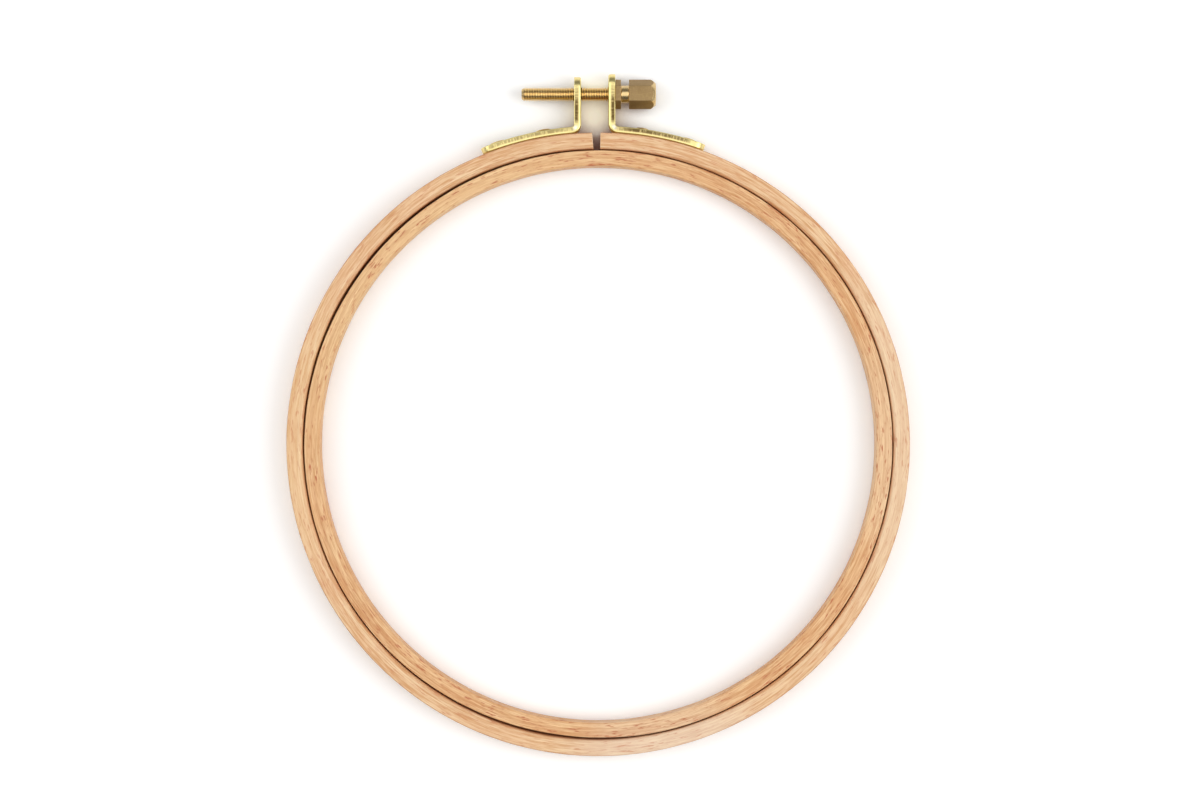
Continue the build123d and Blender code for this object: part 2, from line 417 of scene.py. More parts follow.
def spin_and_repeat(shape, centre, axis, angle, steps, copies, advance=0.0):
    """Spins a section into a slice, then sets copies of the slice end to end.

    advance is how far each slice moves along the axis, as a thread does.
    """
    bmesh.ops.spin(
        shape,
        geom=shape.verts[:] + shape.edges[:],
        cent=centre,
        axis=axis,
        dvec=[part * advance / steps for part in axis],
        angle=angle,
        steps=steps,
        use_merge=False,
    )
    bmesh.ops.spin(
        shape,
        geom=whole(shape),
        cent=centre,
        axis=axis,
        dvec=[part * advance for part in axis],
        angle=angle * copies,
        steps=copies,
        use_duplicate=True,
    )
    merge_doubles(shape)


# %% Inner ring
slice_angle = 30
slice_steps = 60
sanding_depth = 0.035 * MM
sanding_reach = 7 * MM
inner_corner_radii = [0.5 * MM, 0.4 * MM, 0.28 * MM, 0.6 * MM]
gap_everywhere = 0.10 * MM
wide_gaps = [(138, 34, 0.45 * MM), (258, 22, 0.35 * MM)]  # degrees, reach in degrees, depth


def spin_round(shape, whole_angle):
    """Spins a section round the hoop's axis, by an angle in degrees."""
    way = 1 if whole_angle > 0 else -1
    copies = round(abs(whole_angle) / slice_angle) - 1
    spin_and_repeat(
        shape, (0, 0, 0), (0, 0, 1), radians(slice_angle) * way, slice_steps, copies
    )


def scrape_outside(shape):
    """Takes a little off the ring's outside, mostly at the wide gaps."""
    for vert in shape.verts:
        radius = hypot(vert.co.x, vert.co.y)
        if radius < (inner_inside + inner_outside) / 2:
            continue
        around = degrees(atan2(vert.co.y, vert.co.x)) % 360
        taken = gap_everywhere
        for centre, reach, depth in wide_gaps:
            taken += depth * exp(-(((around - centre) / reach) ** 2))
        share = (radius - inner_inside) / ring_wall
        vert.co.xy *= 1 - taken * share**2 / radius


shape = bmesh.new()
ring_section(shape, inner_inside, inner_outside, inner_corner_radii)
spin_round(shape, 360)
scrape_outside(shape)
sand_by_hand(shape, sanding_depth, sanding_reach)
remember_places(shape)
inner_wood = finish_piece(shape, "inner_ring_wood")

# %% [markdown]
# ## The outer ring
# The outer ring is one springy piece with a slit, and it opens by bending. Each half is
# spun from the point opposite the slit up to it, and a plane then saws the end off. The left
# end leans a few degrees, because the saw did. A second cut just behind the first, which
# removes nothing, gives the end an edge loop of its own, so that a thin pale line can be
# painted there: raw end grain, and painted highlight on the broken edge.

# %% Cut at a plane, and close the open ends
def cut_at(shape, place, outwards, cut_off=False):
    """Cuts a shape at a plane, and removes what lies past it if cut_off is True."""
    bmesh.ops.bisect_plane(
        shape, geom=whole(shape), plane_co=place, plane_no=outwards, clear_outer=cut_off
    )


def close_ends(shape):
    """Fills the holes that cutting off leaves."""
    open_edges = [edge for edge in shape.edges if edge.is_boundary]
    bmesh.ops.holes_fill(shape, edges=open_edges)


# %% Outer ring, two halves
outer_corner_radii = [0.5 * MM, 0.5 * MM, 0.42 * MM, 1.05 * MM]
slit_faces = {-1: 1.46 * MM, 1: 0.60 * MM}
slit_lean = {-1: 5.0, 1: 0.5}
end_line = 0.30 * MM
end_tolerance = 0.1 * end_line  # points this near the sawn face belong to it
saw_depth = 0.07 * MM
saw_reach = 0.45 * MM


def ring_half(side, name):
    """Half of the outer ring, from the point opposite the slit up to its sawn end."""
    shape = bmesh.new()
    ring_section(shape, outer_inside, outer_outside, outer_corner_radii)
    bmesh.ops.rotate(
        shape, verts=shape.verts, cent=(0, 0, 0), matrix=Matrix.Rotation(radians(-90), 3, "Z")
    )
    spin_round(shape, 180 * side)
    end_place = Vector((side * slit_faces[side], outer_middle, middle_height))
    lean = radians(slit_lean[side])
    outwards = Vector((-side * cos(lean), sin(lean), 0))
    cut_at(shape, end_place - outwards * end_line, outwards)
    cut_at(shape, end_place, outwards, cut_off=True)
    close_ends(shape)
    sand_by_hand(shape, sanding_depth, sanding_reach)
    # The sawn end is marked for a pale line: raw end grain, and painted highlight on its edge.
    end_grain_and_highlight = shape.verts.layers.float.new("end_grain_and_highlight")
    for vert in shape.verts:
        past = (vert.co - end_place).dot(outwards)
        near_slit = vert.co.y > 0
        if near_slit and past > -end_tolerance:
            vert[end_grain_and_highlight] = 1.0
            vert.co += outwards * saw_depth * noise.noise(vert.co / saw_reach)
    remember_places(shape)
    return finish_piece(shape, name)


outer_left_wood = ring_half(-1, "outer_ring_left_wood")
outer_right_wood = ring_half(1, "outer_ring_right_wood")

# %% [markdown]
# ## Colours and finishes
# Colours are written as they look on a screen, from 0 to 255, and turned into the linear
# values that shaders work in. Every finish below is made of the same four things: a colour,
# a roughness, a height whose bump gives the fine relief, and the shader that takes them.

# %% Colours and empty materials
def paint(red, green, blue):
    """A screen colour as the linear colour that a shader takes."""
    linear = [
        part / 12.92 if part <= 0.04045 else ((part + 0.055) / 1.055) ** 2.4
        for part in (red / 255, green / 255, blue / 255)
    ]
    return (*linear, 1)


def new_material(name):
    """An empty material with a shader and an output; returns it, its tree and the shader."""
    material = bpy.data.materials.new(name)
    material.use_nodes = True
    tree = material.node_tree
    tree.nodes.clear()
    shader = add_node(tree, "ShaderNodeBsdfPrincipled")
    add_node(tree, "ShaderNodeOutputMaterial", {"Surface": shader.outputs["BSDF"]})
    return material, tree, shader


# %% Parts of a finish
def attribute(tree, name, output="Fac"):
    """What the mesh keeps at each point under a name: a number, or a "Vector"."""
    return add_node(tree, "ShaderNodeAttribute", attribute_name=name).outputs[output]


def cloudy(tree, place, scale, detail, roughness=0.5):
    """Plain noise, from 0 to 1, over a place."""
    inputs = {"Vector": place, "Scale": scale, "Detail": detail, "Roughness": roughness}
    return add_node(tree, "ShaderNodeTexNoise", inputs).outputs["Fac"]


def complete(material, shader, colour, roughness, height, bump_strength, bump_depth):
    """Gives a material's shader its colour, roughness and bump, and returns the material."""
    tree = material.node_tree
    bump = {"Height": height, "Strength": bump_strength, "Distance": bump_depth}
    bump = add_node(tree, "ShaderNodeBump", bump)
    tree.links.new(colour, shader.inputs["Base Color"])
    tree.links.new(roughness, shader.inputs["Roughness"])
    tree.links.new(bump.outputs["Normal"], shader.inputs["Normal"])
    print(f"{material.name}: {len(tree.nodes)} nodes")
    return material


# %% [markdown]
# ## Beech
# Beech is pale and close-grained. On a bent strip the grain runs round the ring, as fine
# streaks, and short reddish-brown ray flecks lie along it. A plain noise stretched along one
# axis can't follow a circle, and an angle jumps where the circle closes. So each point's
# direction from the centre, which never jumps, gives two of the noise's four coordinates,
# and the distance from the centre and the height give the other two. The larger the circle
# that the direction draws in the noise, the shorter the streaks.

# %% Noise that follows the ring
def ring_place(tree):
    """A point's place at rest, that seen from above, its radius and its height, in mm."""
    place = attribute(tree, "place", "Vector")
    x, y, height = add_node(tree, "ShaderNodeSeparateXYZ", {0: place}).outputs
    flat = add_node(tree, "ShaderNodeCombineXYZ", {0: x, 1: y}).outputs[0]
    return place, flat, vector_math(tree, "LENGTH", {0: flat}, "Value"), height


def ring_noise(tree, length, width, height, detail, shift=0.0):
    """Noise along a ring: streaks of about this length, width and height, in millimetres."""
    _, flat, radius, level = ring_place(tree)
    turn_size = outer_middle / MM / length
    turned = vector_math(tree, "NORMALIZE", {0: flat})
    turned = vector_math(tree, "SCALE", {0: turned, "Scale": turn_size})
    across = math_node(tree, "MULTIPLY_ADD", radius, 1 / width, shift)
    across = add_node(tree, "ShaderNodeCombineXYZ", {2: across}).outputs[0]
    joined = vector_math(tree, "ADD", {0: turned, 1: across})
    level = math_node(tree, "MULTIPLY_ADD", level, 1 / height, shift)
    inputs = {"Vector": joined, "W": level, "Scale": 1.0, "Detail": detail}
    return add_node(tree, "ShaderNodeTexNoise", inputs, noise_dimensions="4D").outputs["Fac"]


# %% [markdown]
# ## What else shows on a ring
# Strips of beech differ along their length, so each ring has a few paler stretches, which
# fade out on both sides. Thin lines, pale or dark, run along the top face, mostly beside a
# rounded edge: the pale ones beside the inside roundings are painted highlight, and the dark
# one on the outer ring's outside edge is painted shade. The sawn ends are painted pale, partly
# as raw end grain and partly as painted highlight on their broken edge. Each of these is laid
# over the colour that is there so far, and a point's own place says how much of it shows.

# %% Pale stretches, lines with painted edge light, and raw ends with painted highlight
raw_end_and_highlight_strength = 0.85
raw_grain_scale = 4.0


def lay_stretches(tree, colour, flat, radius, stretches):
    """Lays pale stretches over a colour: where and how far, in degrees, strength, colour."""
    for around, reach, strength, stretch_colour in stretches:
        towards = (cos(radians(around)), sin(radians(around)), 0)
        near = vector_math(tree, "DOT_PRODUCT", {0: flat, 1: towards}, "Value")
        near = math_node(tree, "DIVIDE", near, radius)
        near = ramp(tree, near, [(cos(radians(reach)), 0.0), (1.0, strength)], smooth=True)
        colour = mix_colour(tree, near, colour, stretch_colour)
    return colour


def lay_lines_and_edge_light(tree, colour, radius, height, bands, lines_and_edge_light):
    """Lays lines over the top face, some of them painted highlight or shade: radius and width in
    mm, colour, strength.
    """
    share = math_node(tree, "DIVIDE", height, ring_height / MM)
    near_top = ramp(tree, share, [(0.82, 0.0), (0.95, 1.0)])
    for line_radius, width, line_colour, strength in lines_and_edge_light:
        off = math_node(tree, "SUBTRACT", radius, line_radius)
        off = math_node(tree, "ABSOLUTE", off)
        off = math_node(tree, "DIVIDE", off, width)
        line = ramp(tree, off, [(0.0, strength), (1.0, 0.0)], smooth=True)
        line = math_node(tree, "MULTIPLY", line, ramp(tree, bands, [(0.35, 1.0), (0.62, 0.1)]))
        line = math_node(tree, "MULTIPLY", line, near_top)
        colour = mix_colour(tree, line, colour, line_colour)
    return colour


def lay_raw_ends_and_highlight(tree, colour, place):
    """Lays raw end grain and a painted highlight over the points that are marked as sawn."""
    raw_end_and_highlight_share = math_node(tree, "MULTIPLY", attribute(tree, "end_grain_and_highlight"), raw_end_and_highlight_strength)
    grain = cloudy(tree, place, raw_grain_scale, 3.0)
    raw_end_and_highlight_colour = mix_colour(tree, grain, paint(255, 232, 200), paint(222, 176, 134))
    return mix_colour(tree, raw_end_and_highlight_share, colour, raw_end_and_highlight_colour)


# %% Beech that follows a ring
beech_gloss = 0.32
beech_relief = 0.05 * MM


def beech(name, pale, deep, fleck, fleck_share, drift, lines_and_edge_light, pale_stretches):
    """Beech for one ring: streaks, bands, warm patches, flecks, pores, and what else shows."""
    material, tree, shader = new_material(name)
    place, flat, radius, height = ring_place(tree)
    streaks = ring_noise(tree, 11.0, 0.40, 0.6, 3.0)
    fine = ring_noise(tree, 4.0, 0.26, 0.3, 2.0, shift=3.0)
    bands = ring_noise(tree, 40, 1.3, 2.5, 2.0, shift=7.0)
    patches = ring_noise(tree, 14, 4, 8, 2.0, shift=13.0)
    flecks = ring_noise(tree, 2.6, 0.36, 0.5, 2.0, shift=19.0)
    clusters = ring_noise(tree, 7, 1.4, 2.0, 1.0, shift=29.0)
    pores = ring_noise(tree, 1.6, 0.12, 0.12, 1.0, shift=37.0)

    streak_tone = ramp(tree, streaks, [(0.40, 0.0), (0.64, 0.6)])
    tone = math_node(tree, "ADD", streak_tone, ramp(tree, fine, [(0.40, 0.0), (0.64, 0.55)]))
    tone = math_node(tree, "ADD", tone, ramp(tree, bands, [(0.34, 0.0), (0.66, 0.25)]))
    colour = mix_colour(tree, tone, pale, deep)
    warm = ramp(tree, patches, [(0.40, 0.0), (0.65, 0.4)])
    colour = mix_colour(tree, warm, colour, drift)
    colour = lay_stretches(tree, colour, flat, radius, pale_stretches)

    spots = ramp(tree, flecks, [(0.55, 0.0), (0.66, 1.0)])
    where = ramp(tree, clusters, [(0.42, 0.0), (0.57, fleck_share)])
    colour = mix_colour(tree, math_node(tree, "MULTIPLY", spots, where), colour, fleck)
    dots = ramp(tree, pores, [(0.60, 0.0), (0.75, 0.3)])
    colour = mix_colour(tree, dots, colour, fleck)
    colour = lay_lines_and_edge_light(tree, colour, radius, height, bands, lines_and_edge_light)
    colour = lay_raw_ends_and_highlight(tree, colour, place)

    rough = ramp(tree, streaks, [(0.3, 0.52), (0.7, 0.66)])
    relief = math_node(tree, "MULTIPLY_ADD", pores, -0.4, streaks)
    shader.inputs["Specular IOR Level"].default_value = beech_gloss
    return complete(material, shader, colour, rough, relief, 0.35, beech_relief)


# %% Beech of the two rings
outer_beech = beech(
    "outer_beech",
    pale=paint(255, 222, 178),
    deep=paint(220, 164, 112),
    fleck=paint(206, 122, 82),
    fleck_share=0.6,
    drift=paint(240, 190, 146),
    lines_and_edge_light=[
        # Painted highlight beside the inside rounding, and painted shade along the outside edge.
        (outer_inside / MM + 1.3, 0.35, paint(255, 226, 186), 0.45),
        (outer_outside / MM, 0.42, paint(190, 128, 94), 0.85),
    ],
    pale_stretches=[
        (2, 38, 0.36, paint(255, 235, 204)),
        (282, 22, 0.42, paint(252, 236, 216)),
        (178, 30, 0.30, paint(255, 222, 170)),
    ],
)
inner_beech = beech(
    "inner_beech",
    pale=paint(255, 216, 164),
    deep=paint(214, 155, 103),
    fleck=paint(194, 106, 68),
    fleck_share=0.95,
    drift=paint(232, 172, 118),
    lines_and_edge_light=[
        # A pale line of painted highlight beside the inside rounding, and a darker line.
        (inner_inside / MM + 1.0, 0.4, paint(252, 214, 166), 0.25),
        (inner_inside / MM + 2.5, 0.7, paint(204, 140, 96), 0.3),
    ],
    pale_stretches=[
        (0, 25, 0.28, paint(255, 233, 196)),
        (282, 18, 0.22, paint(250, 234, 210)),
        (135, 60, 0.34, paint(255, 222, 168)),
    ],
)
inner_wood.data.materials.append(inner_beech)
for piece in (outer_left_wood, outer_right_wood):
    piece.data.materials.append(outer_beech)

# %% [markdown]
# ## The brackets
# Each bracket is punched from brass strip. The punch rolls the edge over on one side and
# tears it on the other, so the narrow edge is dark and hatched away from the wood; beside the
# wood it is bright, partly by painted highlight. The blank is made flat, as in the press: a
# rectangle with rounded ends, given its thickness, its two rims bevelled by different amounts,
# and drilled. Then it is cut across at many places and bent, point by point, along the leg,
# round the corner and along the ring. Each point keeps its place on the flat blank for the finish.

# %% Sizes of the strip
strip_thickness = 1.9 * MM
strip_width = 6.0 * MM
strip_corner_radius = 2.82 * MM
bend_radius = 0.8 * MM
strip_clearance = 0.02 * MM  # under a strip, and between a strip and a rivet's head
strip_underside = outer_outside + strip_clearance
leg_hole_radius = 2.15 * MM
rolled_rim = 0.50 * MM
torn_rim = 0.16 * MM
rivet_spacing = 12.8 * MM
rivet_to_tip = 4.6 * MM
leg_to_rivet = {-1: 10.0 * MM, 1: 9.0 * MM}

bracket_boxes = {-1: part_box("bracket_left"), 1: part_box("bracket_right")}
leg_faces = {-1: -bracket_boxes[-1][1].x, 1: bracket_boxes[1][0].x}
leg_tops = {side: bracket_boxes[side][1].y for side in (-1, 1)}


def rivet_angles(side):
    """Angles from +Y, in radians, of a strip's two rivets, the one nearer the leg first."""
    nearer = asin(leg_faces[side] / strip_underside) + leg_to_rivet[side] / outer_outside
    return [nearer, nearer + rivet_spacing / outer_outside]


for side in (-1, 1):
    angles = [f"{degrees(angle):.2f}" for angle in rivet_angles(side)]
    print(f"leg face {leg_faces[side] / MM:.2f} mm, rivets at {angles} degrees")


# %% Path that a strip is bent along
def strip_path(side):
    """Lengths and angles of the leg, the bend and the arc of one strip."""
    middle_radius = bend_radius + strip_thickness / 2
    bend_x = leg_faces[side] + strip_thickness + bend_radius
    bend_from_centre = strip_underside + strip_thickness + bend_radius
    bend_y = sqrt(bend_from_centre**2 - bend_x**2)
    arc_start = atan2(bend_x, bend_y)
    arc_end = rivet_angles(side)[1] + rivet_to_tip / outer_outside
    leg_length = leg_tops[side] - bend_y
    bend_length = middle_radius * (pi / 2 - arc_start)
    arc_length = (strip_underside + strip_thickness / 2) * (arc_end - arc_start)
    return {
        "bend_x": bend_x,
        "bend_y": bend_y,
        "arc_start": arc_start,
        "leg_end": leg_length,
        "bend_end": leg_length + bend_length,
        "length": leg_length + bend_length + arc_length,
    }


def bent(side, path, along, across, height):
    """Where a point of the flat blank goes: along the strip, across its thickness, height."""
    z = middle_height + height
    if along <= path["leg_end"]:
        return Vector((side * (leg_faces[side] + across), leg_tops[side] - along, z))
    if along <= path["bend_end"]:
        turned = (along - path["leg_end"]) / (bend_radius + strip_thickness / 2)
        radius = bend_radius + strip_thickness - across
        x = path["bend_x"] - radius * cos(turned)
        return Vector((side * x, path["bend_y"] - radius * sin(turned), z))
    middle = strip_underside + strip_thickness / 2
    angle = path["arc_start"] + (along - path["bend_end"]) / middle
    radius = strip_underside + across
    return Vector((side * radius * sin(angle), radius * cos(angle), z))


for side in (-1, 1):
    print(f"flat strip {strip_path(side)['length'] / MM:.1f} mm long")

# %% [markdown]
# ## Cutting one piece with another
# A boolean modifier drills, trims and joins as a workshop does. Its result is put into the
# mesh at once, and the tool is taken away, so that no modifier and no spare piece is left.

# %% Drills and cuts
drill_sides = 64


def apply_modifiers(piece):
    """Puts what the modifiers make into the mesh itself."""
    made = bpy.data.meshes.new_from_object(
        piece.evaluated_get(bpy.context.evaluated_depsgraph_get())
    )
    piece.modifiers.clear()
    piece.data = made


def cut_with(piece, tool, operation):
    """Cuts, joins or trims a piece with another one and removes the tool."""
    boolean = piece.modifiers.new("cut", "BOOLEAN")
    boolean.object = tool
    boolean.operation = operation
    boolean.solver = "EXACT"
    apply_modifiers(piece)
    bpy.data.objects.remove(tool)


def rod_along(name, way, centre, radius, length):
    """A plain round rod along a direction, used as a drill."""
    shape = bmesh.new()
    bmesh.ops.create_cone(
        shape, cap_ends=True, segments=drill_sides, radius1=radius, radius2=radius, depth=length
    )
    turn = Vector(way).to_track_quat("Z", "Y").to_matrix().to_4x4()
    bmesh.ops.transform(shape, matrix=Matrix.Translation(centre) @ turn, verts=shape.verts)
    return finish_piece(shape, name)


# %% The flat blank
corner_of_blank_steps = 14
rolled_rim_steps = 5
torn_rim_steps = 3


def punched_blank(path):
    """The flat blank: x along the strip, y across its thickness, z its height."""
    shape = bmesh.new()
    upright_rectangle(shape, path["length"], strip_width, (path["length"] / 2, 0, 0))
    bevel(shape, shape.verts[:], strip_corner_radius, corner_of_blank_steps, "VERTICES")
    made = bmesh.ops.extrude_face_region(shape, geom=shape.faces[:])
    moved = [item for item in made["geom"] if isinstance(item, bmesh.types.BMVert)]
    bmesh.ops.translate(shape, vec=(0, strip_thickness, 0), verts=moved)
    bmesh.ops.recalc_face_normals(shape, faces=shape.faces)
    rims = ((0, rolled_rim, rolled_rim_steps), (strip_thickness, torn_rim, torn_rim_steps))
    for level, rim, steps in rims:
        rim_edges = [
            edge
            for edge in shape.edges
            if all(abs(vert.co.y - level) < merge_distance for vert in edge.verts)
        ]
        bevel(shape, rim_edges, rim, steps, "EDGES")
    return finish_piece(shape, "blank")


# %% [markdown]
# ## The torn edge
# How badly the punch tears the edge changes along the strip: hardly at the leg's end, most
# along the straight runs, and not round the bend. It is written down as a few lengths from
# the leg's end, each with how badly the edge is torn there, and read off in between.

# %% How badly the edge is torn, from 0 to 1, at lengths in mm from the leg's end
tears = {
    -1: [(2, 0.1), (4, 0.6), (6, 0.85), (9, 0.95), (11.8, 0.95), (12.8, 0.1), (15, 0.4)]
    + [(18, 0.55), (32, 0.65), (38, 0.5), (39.5, 0.0)],
    1: [(2, 0.1), (4, 0.5), (6, 0.8), (10, 0.95), (12.6, 0.95), (13.6, 0.1), (16, 0.5)]
    + [(20, 1.0), (35, 1.0), (36.5, 0.1), (38, 0.0)],
}


def tear_at(side, along):
    """How badly the edge is torn at a length along the strip."""
    stops = tears[side]
    if along <= stops[0][0]:
        return stops[0][1]
    for (start, low), (end, high) in zip(stops, stops[1:]):
        if along <= end:
            return low + (high - low) * (along - start) / (end - start)
    return stops[-1][1]


print(f"torn edge: {len(tears[-1])} lengths on the left strip, {len(tears[1])} on the right")

# %% Drill and bend a strip
bend_steps = 22
arc_step = 0.7 * MM
bend_reach = 1.5 * MM
outside_swell = 0.055  # share by which the strip's outside grows in height at the bend
bend_shrink = 0.02  # share by which its whole height shrinks there
# Reach along the strip of the glint painted at the bend.
painted_glint_reach = 0.75 * MM
waver_depth = 0.02 * MM
waver_reach = 3 * MM


def bend_cuts(path):
    """Lengths along the blank at which it is cut across, closest together in the bend."""
    leg_steps = int(path["leg_end"] / arc_step)
    cuts = [path["leg_end"] * step / leg_steps for step in range(1, leg_steps)]
    cuts += [
        path["leg_end"] + (path["bend_end"] - path["leg_end"]) * step / bend_steps
        for step in range(bend_steps + 1)
    ]
    while cuts[-1] < path["length"] - arc_step:
        cuts.append(cuts[-1] + arc_step)
    return cuts


def bracket(side, name):
    """A bracket, punched, drilled for the screw and bent."""
    path = strip_path(side)
    blank = punched_blank(path)
    hole_place = (leg_tops[side] - screw_y, strip_thickness / 2, 0)
    drill = rod_along("drill", (0, 1, 0), hole_place, leg_hole_radius, 3 * strip_thickness)
    cut_with(blank, drill, "DIFFERENCE")
    shape = bmesh.new()
    shape.from_mesh(blank.data)
    bpy.data.objects.remove(blank)
    for along in bend_cuts(path):
        cut_at(shape, (along, 0, 0), (1, 0, 0))
    strip_place = shape.verts.layers.float_vector.new("strip_place")
    tear = shape.verts.layers.float.new("tear")
    painted_bend_glint = shape.verts.layers.float.new("painted_bend_glint")
    bend_middle = (path["leg_end"] + path["bend_end"]) / 2
    for vert in shape.verts:
        along, across, height = vert.co
        vert[strip_place] = vert.co / MM
        vert[tear] = tear_at(side, along / MM)
        # Painted glint: a nearly white patch is marked round the middle of the bend.
        vert[painted_bend_glint] = exp(-(((along - bend_middle) / painted_glint_reach) ** 2))
        near_bend = exp(-(((along - bend_middle) / bend_reach) ** 2))
        squeezed = 1 + near_bend * (outside_swell * across / strip_thickness - bend_shrink)
        waver = waver_depth * noise.noise(Vector((along / waver_reach, side, height / MM)))
        vert.co = bent(side, path, along, across + waver, height * squeezed)
    return finish_piece(shape, name)


left_bracket = bracket(-1, "bracket_left_strip")
right_bracket = bracket(1, "bracket_right_strip")

# %% [markdown]
# ## Brass strip
# The flat faces of the strip are rolled and bright. Its narrow edge has three zones from the
# wood outwards: a rolled-over zone, a torn zone that is darker, duller and hatched across, and
# a thin rim. The level part of the edge is painted darker than the two rims, as painted shade
# and highlight for what a level face and a rounded rim reflect, and less so where it is hardly
# torn. At the corner of the bend a nearly white glint is painted. The place on the flat blank
# says which zone a point is in, so the zones follow the bend.

# %% Brass of the brackets
def strip_brass():
    """Bright brass strip with sheared edges, painted highlight and shade on its narrow edge, and a
    painted glint at the bend.
    """
    material, tree, shader = new_material("strip_brass")
    place = attribute(tree, "strip_place", "Vector")
    along, across, height = add_node(tree, "ShaderNodeSeparateXYZ", {0: place}).outputs

    hatch_place = add_node(tree, "ShaderNodeCombineXYZ", {
        0: math_node(tree, "MULTIPLY", along, 2.6),
        1: math_node(tree, "MULTIPLY", across, 0.5),
        2: math_node(tree, "MULTIPLY", height, 0.3),
    })
    hatch = cloudy(tree, hatch_place.outputs[0], 1.0, 4.0, roughness=0.6)
    blotch = cloudy(tree, place, 0.22, 3.0)
    share = math_node(tree, "DIVIDE", across, strip_thickness / MM)
    share = math_node(tree, "ADD", share, math_node(tree, "MULTIPLY_ADD", hatch, 0.16, -0.08))
    torn = ramp(tree, share, [(0.0, 0.0), (0.40, 0.0), (0.50, 1.0), (0.84, 1.0), (0.93, 0.0)])
    tear = attribute(tree, "tear")
    marks = math_node(tree, "MULTIPLY_ADD", tear, 0.09, hatch)
    torn = math_node(tree, "MULTIPLY", torn, ramp(tree, marks, [(0.46, 0.12), (0.57, 1.0)]))
    tear = math_node(tree, "MULTIPLY", tear, ramp(tree, blotch, [(0.36, 0.75), (0.60, 1.0)]))
    torn = math_node(tree, "MULTIPLY", torn, tear)
    from_middle = math_node(tree, "ABSOLUTE", height)
    from_middle = math_node(tree, "DIVIDE", from_middle, strip_width / MM)
    on_edge = ramp(tree, from_middle, [(0.42, 0.0), (0.495, 1.0)])
    torn = math_node(tree, "MULTIPLY", torn, on_edge)

    brass_with_painted_light = mix_colour(tree, blotch, paint(244, 234, 168), paint(226, 210, 132))
    level_brass_in_painted_shade = mix_colour(tree, blotch, paint(224, 204, 144), paint(186, 164, 108))
    # Painted shade and highlight: the level part of the edge is darker than its rims, and lighter
    # where the edge is hardly torn, as at the bend.
    painted_level_shade = ramp(tree, share, [(0.26, 0.0), (0.36, 1.0), (0.86, 1.0), (0.94, 0.3)])
    painted_level_shade = math_node(tree, "MULTIPLY", painted_level_shade, ramp(tree, tear, [(0.1, 0.3), (0.7, 1.0)]))
    brass_with_painted_light = mix_colour(tree, painted_level_shade, brass_with_painted_light, level_brass_in_painted_shade)
    brass_with_painted_light = mix_colour(tree, on_edge, paint(240, 220, 150), brass_with_painted_light)
    # Painted glint at the bend, nearly white, across the middle of the edge.
    painted_glint_across = ramp(tree, share, [(0.34, 0.0), (0.48, 1.0), (0.78, 1.0), (0.94, 0.0)])
    painted_bend_glint = math_node(tree, "MULTIPLY", attribute(tree, "painted_bend_glint"), painted_glint_across)
    painted_bend_glint = math_node(tree, "MULTIPLY", painted_bend_glint, ramp(tree, hatch, [(0.36, 0.35), (0.52, 1.0)]))
    brass_with_painted_light = mix_colour(tree, painted_bend_glint, brass_with_painted_light, paint(255, 253, 240))
    colour = mix_colour(tree, torn, brass_with_painted_light, paint(104, 82, 48))
    shader.inputs["Metallic"].default_value = 1.0
    rough = math_node(tree, "MULTIPLY_ADD", torn, 0.25, 0.24)
    rough = math_node(tree, "MULTIPLY_ADD", blotch, 0.12, rough)
    return complete(material, shader, colour, rough, hatch, 0.5, 0.06 * MM)


bracket_brass = strip_brass()
for piece in (left_bracket, right_bracket):
    piece.data.materials.append(bracket_brass)

# %% [markdown]
# ## The rivets
# Four brass rivets hold the brackets. Their heads were spread by a hammer, so they are low,
# flat on top and not quite round, and their tails fill countersinks in the ring's inside
# face. Each is one outline spun round its own axis.

# %% An outline spun round an axis
def draw_line(shape, places):
    """Draws points and joins them by edges."""
    points = [shape.verts.new(place) for place in places]
    for first, second in zip(points, points[1:]):
        shape.edges.new((first, second))


def spun_outline(outline, centre, steps):
    """An outline of (x, radius) points, spun once round the line along X through a centre."""
    shape = bmesh.new()
    draw_line(shape, [(x, centre[1] + radius, centre[2]) for x, radius in outline])
    bmesh.ops.spin(
        shape,
        geom=shape.verts[:] + shape.edges[:],
        cent=centre,
        axis=(1, 0, 0),
        angle=radians(360),
        steps=steps,
        use_merge=True,
    )
    return shape


# %% Sizes of the rivets
rivet_shank = 2.0 * MM
rivet_heads = {  # width and height
    "rivet_left_leg": (4.2 * MM, 0.62 * MM),
    "rivet_left_tip": (4.2 * MM, 0.50 * MM),
    "rivet_right_leg": (3.5 * MM, 0.56 * MM),
    "rivet_right_tip": (3.4 * MM, 0.44 * MM),
}
head_base = strip_underside + strip_thickness + strip_clearance
head_foot = 0.94  # share of the head's radius at its foot
head_edge = 0.07 * MM  # how high its widest place is
head_flatness = 0.8  # below 1, the top of the head is flatter than a ball's
head_dome_steps = 9
hammered_from = 0.03 * MM  # the hammer leaves the head's foot alone
hammered_depth = 0.05 * MM
rivet_tail = 3.4 * MM
rivet_tail_depth = 0.7 * MM
rivet_tail_recess = 0.1 * MM
tail_dish = [(0.12 * MM, 0.0), (0.1 * MM, 0.55), (0.0, 0.86), (0.08 * MM, 1.0)]  # depth, share
rivet_steps = 56
head_widths = sorted(width / MM for width, height in rivet_heads.values())
print(f"heads {head_widths[0]:.1f} to {head_widths[-1]:.1f} mm wide")


